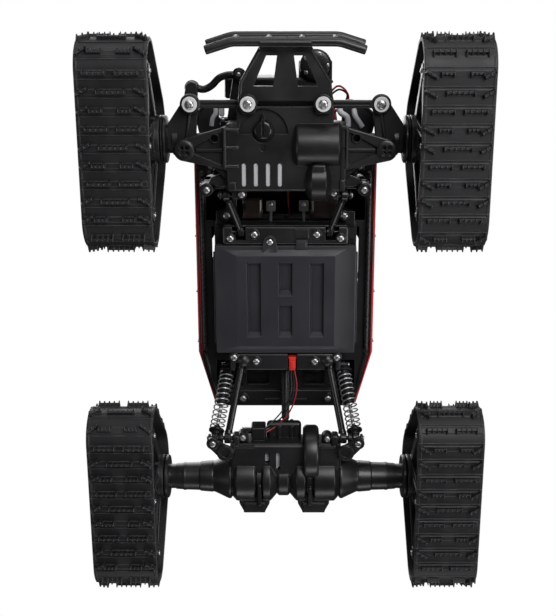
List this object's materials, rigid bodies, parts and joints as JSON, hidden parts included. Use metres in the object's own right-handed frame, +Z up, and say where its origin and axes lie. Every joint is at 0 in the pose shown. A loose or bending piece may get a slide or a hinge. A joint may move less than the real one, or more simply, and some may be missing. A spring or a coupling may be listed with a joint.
{
  "type": "tracked rock crawler chassis",
  "caption": "Radio-control four-wheel-drive crawler chassis with a triangular rubber track unit on each hub, sprung axles, linked steering and a plain cab body.",
  "frame": {"origin": "on the ground plane, midway between the two axles and on the vehicle's centre line", "axes": "+X to the vehicle's side (left-hand nodes have negative X), -Y forwards, +Z up"},
  "size_m": [0.271, 0.3892, 0.184],
  "materials": {
    "black_plastic": "satin black moulded nylon",
    "rubber": "dark charcoal moulded rubber",
    "steel": "bright plated steel",
    "red_shell": "gloss red thin shell",
    "red_plug": "red plug and wire",
    "cell_wrap": "blue shrink wrap",
    "circuit_board": "green board"
  },
  "bodies": {
    "chassis": {"chassis_tub": "black_plastic", "body_floor": "black_plastic", "body_shell": "red_shell", "battery_pack": "cell_wrap", "receiver_board": "circuit_board", "power_lead": "red_plug"},
    "battery_cover": {"battery_cover": "black_plastic"},
    "front_links": {"front_lower_link_left": "black_plastic", "front_lower_link_right": "black_plastic"},
    "front_axle": {"front_axle_housing": "black_plastic", "front_motor": "steel", "steering_servo": "black_plastic", "front_bumper": "black_plastic"},
    "servo_horn": {"servo_horn": "black_plastic"},
    "drag_link": {"drag_link": "black_plastic"},
    "tie_rod": {"tie_rod": "black_plastic"},
    "knuckle_left": {"knuckle_left": "black_plastic"},
    "knuckle_right": {"knuckle_right": "black_plastic"},
    "trim_knob": {"trim_knob": "black_plastic"},
    "rear_links": {"rear_lower_link_left": "black_plastic", "rear_lower_link_right": "black_plastic"},
    "rear_axle": {"rear_axle_housing": "black_plastic", "rear_motor": "steel"},
    "rear_upper_link": {"rear_upper_link": "black_plastic"},
    "front_shock_left": {"front_shock_body_left": "black_plastic", "front_shock_spring_left": "steel"},
    "front_shock_shaft_left": {"front_shock_shaft_left": "steel"},
    "rear_shock_left": {"rear_shock_body_left": "black_plastic", "rear_shock_spring_left": "steel"},
    "rear_shock_shaft_left": {"rear_shock_shaft_left": "steel"},
    "front_shock_right": {"front_shock_body_right": "black_plastic", "front_shock_spring_right": "steel"},
    "front_shock_shaft_right": {"front_shock_shaft_right": "steel"},
    "rear_shock_right": {"rear_shock_body_right": "black_plastic", "rear_shock_spring_right": "steel"},
    "rear_shock_shaft_right": {"rear_shock_shaft_right": "steel"},
    "track_front_left": {"track_frame_front_left": "black_plastic", "belt_front_left": "rubber"},
    "sprocket_front_left": {"sprocket_front_left": "black_plastic"},
    "idler_front_left_front": {"idler_front_left_front": "black_plastic"},
    "idler_front_left_rear": {"idler_front_left_rear": "black_plastic"},
    "road_wheel_front_left": {"road_wheel_front_left": "black_plastic"},
    "track_front_right": {"track_frame_front_right": "black_plastic", "belt_front_right": "rubber"},
    "sprocket_front_right": {"sprocket_front_right": "black_plastic"},
    "idler_front_right_front": {"idler_front_right_front": "black_plastic"},
    "idler_front_right_rear": {"idler_front_right_rear": "black_plastic"},
    "road_wheel_front_right": {"road_wheel_front_right": "black_plastic"},
    "track_rear_left": {"track_frame_rear_left": "black_plastic", "belt_rear_left": "rubber"},
    "sprocket_rear_left": {"sprocket_rear_left": "black_plastic"},
    "idler_rear_left_front": {"idler_rear_left_front": "black_plastic"},
    "idler_rear_left_rear": {"idler_rear_left_rear": "black_plastic"},
    "road_wheel_rear_left": {"road_wheel_rear_left": "black_plastic"},
    "track_rear_right": {"track_frame_rear_right": "black_plastic", "belt_rear_right": "rubber"},
    "sprocket_rear_right": {"sprocket_rear_right": "black_plastic"},
    "idler_rear_right_front": {"idler_rear_right_front": "black_plastic"},
    "idler_rear_right_rear": {"idler_rear_right_rear": "black_plastic"},
    "road_wheel_rear_right": {"road_wheel_rear_right": "black_plastic"}
  },
  "joints": [
    {"name": "front_bounce", "type": "hinge", "parent": "chassis", "child": "front_links", "pos_m": [0, -0.058, 0.068], "axis": [1, 0, 0], "range_deg": [-10, 10], "stiffness_Nm_per_rad": 2},
    {"name": "front_axle_level", "type": "hinge", "parent": "front_links", "child": "front_axle", "pos_m": [0, -0.087, 0.05], "axis": [1, 0, 0], "range_deg": [-11, 11]},
    {"name": "rear_bounce", "type": "hinge", "parent": "chassis", "child": "rear_links", "pos_m": [0, 0.038, 0.068], "axis": [1, 0, 0], "range_deg": [-8, 8], "stiffness_Nm_per_rad": 4},
    {"name": "rear_axle_level", "type": "hinge", "parent": "rear_links", "child": "rear_axle", "pos_m": [0, 0.09, 0.048], "axis": [1, 0, 0], "range_deg": [-9, 9]},
    {"name": "rear_upper_swing", "type": "hinge", "parent": "chassis", "child": "rear_upper_link", "pos_m": [0, 0.038, 0.086], "axis": [1, 0, 0], "range_deg": [-9, 9]},
    {"name": "front_shock_swing_left", "type": "hinge", "parent": "chassis", "child": "front_shock_left", "pos_m": [-0.0505, -0.09, 0.108], "axis": [1, 0, 0], "range_deg": [-5, 5]},
    {"name": "front_shock_slide_left", "type": "slide", "parent": "front_shock_left", "child": "front_shock_shaft_left", "axis": [-0.0561, -0.0416, -0.9976], "range_m": [-0.0065, 0.0065], "deforming": ["front_shock_spring_left"]},
    {"name": "rear_shock_swing_left", "type": "hinge", "parent": "chassis", "child": "rear_shock_left", "pos_m": [-0.043, 0.049, 0.092], "axis": [1, 0, 0], "range_deg": [-8, 8]},
    {"name": "rear_shock_slide_left", "type": "slide", "parent": "rear_shock_left", "child": "rear_shock_shaft_left", "axis": [-0.1319, 0.6758, -0.7252], "range_m": [-0.005, 0.005], "deforming": ["rear_shock_spring_left"]},
    {"name": "front_shock_swing_right", "type": "hinge", "parent": "chassis", "child": "front_shock_right", "pos_m": [0.0505, -0.09, 0.108], "axis": [1, 0, 0], "range_deg": [-5, 5]},
    {"name": "front_shock_slide_right", "type": "slide", "parent": "front_shock_right", "child": "front_shock_shaft_right", "axis": [0.0561, -0.0416, -0.9976], "range_m": [-0.0065, 0.0065], "deforming": ["front_shock_spring_right"]},
    {"name": "rear_shock_swing_right", "type": "hinge", "parent": "chassis", "child": "rear_shock_right", "pos_m": [0.043, 0.049, 0.092], "axis": [1, 0, 0], "range_deg": [-8, 8]},
    {"name": "rear_shock_slide_right", "type": "slide", "parent": "rear_shock_right", "child": "rear_shock_shaft_right", "axis": [0.1319, 0.6758, -0.7252], "range_m": [-0.005, 0.005], "deforming": ["rear_shock_spring_right"]},
    {"name": "steer_left", "type": "hinge", "parent": "front_axle", "child": "knuckle_left", "pos_m": [-0.0665, -0.1185, 0.056], "axis": [0, 0, 1], "range_deg": [-23, 23]},
    {"name": "steer_right", "type": "hinge", "parent": "front_axle", "child": "knuckle_right", "pos_m": [0.0665, -0.1185, 0.056], "axis": [0, 0, 1], "range_deg": [-23, 23]},
    {"name": "tie_rod_swing", "type": "hinge", "parent": "knuckle_left", "child": "tie_rod", "pos_m": [-0.0625, -0.148, 0.044], "axis": [0, 0, 1], "range_deg": [-26, 26]},
    {"name": "servo_swing", "type": "hinge", "parent": "front_axle", "child": "servo_horn", "pos_m": [-0.035, -0.127, 0.068], "axis": [0, 0, 1], "range_deg": [-26, 26]},
    {"name": "drag_link_swing", "type": "hinge", "parent": "knuckle_left", "child": "drag_link", "pos_m": [-0.0625, -0.1575, 0.063], "axis": [0, 0, 1], "range_deg": [-26, 26]},
    {"name": "cover_swing", "type": "hinge", "parent": "chassis", "child": "battery_cover", "pos_m": [0, 0.0296, 0.0638], "axis": [1, 0, 0], "range_deg": [0, 40]},
    {"name": "trim_turn", "type": "hinge", "parent": "front_axle", "child": "trim_knob", "pos_m": [-0.0147, -0.1319, 0.036], "axis": [0, 0, 1], "range_deg": [-45, 45]},
    {"name": "track_pitch_front_left", "type": "hinge", "parent": "knuckle_left", "child": "track_front_left", "pos_m": [-0.107, -0.124, 0.056], "axis": [1, 0, 0], "range_deg": [-15, 15]},
    {"name": "sprocket_spin_front_left", "type": "hinge", "parent": "track_front_left", "child": "sprocket_front_left", "pos_m": [-0.107, -0.124, 0.056], "axis": [1, 0, 0], "continuous": true},
    {"name": "idler_spin_front_left_front", "type": "hinge", "parent": "track_front_left", "child": "idler_front_left_front", "pos_m": [-0.107, -0.17, 0.0245], "axis": [1, 0, 0], "continuous": true},
    {"name": "idler_spin_front_left_rear", "type": "hinge", "parent": "track_front_left", "child": "idler_front_left_rear", "pos_m": [-0.107, -0.078, 0.0245], "axis": [1, 0, 0], "continuous": true},
    {"name": "road_wheel_spin_front_left", "type": "hinge", "parent": "track_front_left", "child": "road_wheel_front_left", "pos_m": [-0.107, -0.124, 0.0145], "axis": [1, 0, 0], "continuous": true},
    {"name": "track_pitch_front_right", "type": "hinge", "parent": "knuckle_right", "child": "track_front_right", "pos_m": [0.107, -0.124, 0.056], "axis": [1, 0, 0], "range_deg": [-15, 15]},
    {"name": "sprocket_spin_front_right", "type": "hinge", "parent": "track_front_right", "child": "sprocket_front_right", "pos_m": [0.107, -0.124, 0.056], "axis": [1, 0, 0], "continuous": true},
    {"name": "idler_spin_front_right_front", "type": "hinge", "parent": "track_front_right", "child": "idler_front_right_front", "pos_m": [0.107, -0.17, 0.0245], "axis": [1, 0, 0], "continuous": true},
    {"name": "idler_spin_front_right_rear", "type": "hinge", "parent": "track_front_right", "child": "idler_front_right_rear", "pos_m": [0.107, -0.078, 0.0245], "axis": [1, 0, 0], "continuous": true},
    {"name": "road_wheel_spin_front_right", "type": "hinge", "parent": "track_front_right", "child": "road_wheel_front_right", "pos_m": [0.107, -0.124, 0.0145], "axis": [1, 0, 0], "continuous": true},
    {"name": "track_pitch_rear_left", "type": "hinge", "parent": "rear_axle", "child": "track_rear_left", "pos_m": [-0.113, 0.124, 0.056], "axis": [1, 0, 0], "range_deg": [-15, 15]},
    {"name": "sprocket_spin_rear_left", "type": "hinge", "parent": "track_rear_left", "child": "sprocket_rear_left", "pos_m": [-0.113, 0.124, 0.056], "axis": [1, 0, 0], "continuous": true},
    {"name": "idler_spin_rear_left_front", "type": "hinge", "parent": "track_rear_left", "child": "idler_rear_left_front", "pos_m": [-0.113, 0.078, 0.0245], "axis": [1, 0, 0], "continuous": true},
    {"name": "idler_spin_rear_left_rear", "type": "hinge", "parent": "track_rear_left", "child": "idler_rear_left_rear", "pos_m": [-0.113, 0.17, 0.0245], "axis": [1, 0, 0], "continuous": true},
    {"name": "road_wheel_spin_rear_left", "type": "hinge", "parent": "track_rear_left", "child": "road_wheel_rear_left", "pos_m": [-0.113, 0.124, 0.0145], "axis": [1, 0, 0], "continuous": true},
    {"name": "track_pitch_rear_right", "type": "hinge", "parent": "rear_axle", "child": "track_rear_right", "pos_m": [0.113, 0.124, 0.056], "axis": [1, 0, 0], "range_deg": [-15, 15]},
    {"name": "sprocket_spin_rear_right", "type": "hinge", "parent": "track_rear_right", "child": "sprocket_rear_right", "pos_m": [0.113, 0.124, 0.056], "axis": [1, 0, 0], "continuous": true},
    {"name": "idler_spin_rear_right_front", "type": "hinge", "parent": "track_rear_right", "child": "idler_rear_right_front", "pos_m": [0.113, 0.078, 0.0245], "axis": [1, 0, 0], "continuous": true},
    {"name": "idler_spin_rear_right_rear", "type": "hinge", "parent": "track_rear_right", "child": "idler_rear_right_rear", "pos_m": [0.113, 0.17, 0.0245], "axis": [1, 0, 0], "continuous": true},
    {"name": "road_wheel_spin_rear_right", "type": "hinge", "parent": "track_rear_right", "child": "road_wheel_rear_right", "pos_m": [0.113, 0.124, 0.0145], "axis": [1, 0, 0], "continuous": true}
  ],
  "couplings": [
    {"joint": "front_axle_level", "follows": "front_bounce", "ratio": -1},
    {"joint": "rear_axle_level", "follows": "rear_bounce", "ratio": -1},
    {"joint": "rear_upper_swing", "follows": "rear_bounce", "ratio": 1},
    {"joint": "front_shock_swing_left", "follows": "front_bounce", "ratio": 0.3995},
    {"joint": "front_shock_slide_left", "follows": "front_bounce", "m_per_rad": 0.0282},
    {"joint": "rear_shock_swing_left", "follows": "rear_bounce", "ratio": 0.8328},
    {"joint": "rear_shock_slide_left", "follows": "rear_bounce", "m_per_rad": -0.0246},
    {"joint": "front_shock_swing_right", "follows": "front_bounce", "ratio": 0.3995},
    {"joint": "front_shock_slide_right", "follows": "front_bounce", "m_per_rad": 0.0282},
    {"joint": "rear_shock_swing_right", "follows": "rear_bounce", "ratio": 0.8328},
    {"joint": "rear_shock_slide_right", "follows": "rear_bounce", "m_per_rad": -0.0246},
    {"joint": "steer_right", "follows": "steer_left", "ratio": 1},
    {"joint": "tie_rod_swing", "follows": "steer_left", "ratio": -1.064},
    {"joint": "servo_swing", "follows": "steer_left", "ratio": 1},
    {"joint": "drag_link_swing", "follows": "steer_left", "ratio": -1},
    {"joint": "idler_spin_front_left_front", "follows": "sprocket_spin_front_left", "ratio": 1.8333},
    {"joint": "idler_spin_front_left_rear", "follows": "sprocket_spin_front_left", "ratio": 1.8333},
    {"joint": "road_wheel_spin_front_left", "follows": "sprocket_spin_front_left", "ratio": 4.125},
    {"joint": "idler_spin_front_right_front", "follows": "sprocket_spin_front_right", "ratio": 1.8333},
    {"joint": "idler_spin_front_right_rear", "follows": "sprocket_spin_front_right", "ratio": 1.8333},
    {"joint": "road_wheel_spin_front_right", "follows": "sprocket_spin_front_right", "ratio": 4.125},
    {"joint": "idler_spin_rear_left_front", "follows": "sprocket_spin_rear_left", "ratio": 1.8333},
    {"joint": "idler_spin_rear_left_rear", "follows": "sprocket_spin_rear_left", "ratio": 1.8333},
    {"joint": "road_wheel_spin_rear_left", "follows": "sprocket_spin_rear_left", "ratio": 4.125},
    {"joint": "idler_spin_rear_right_front", "follows": "sprocket_spin_rear_right", "ratio": 1.8333},
    {"joint": "idler_spin_rear_right_rear", "follows": "sprocket_spin_rear_right", "ratio": 1.8333},
    {"joint": "road_wheel_spin_rear_right", "follows": "sprocket_spin_rear_right", "ratio": 4.125}
  ]
}
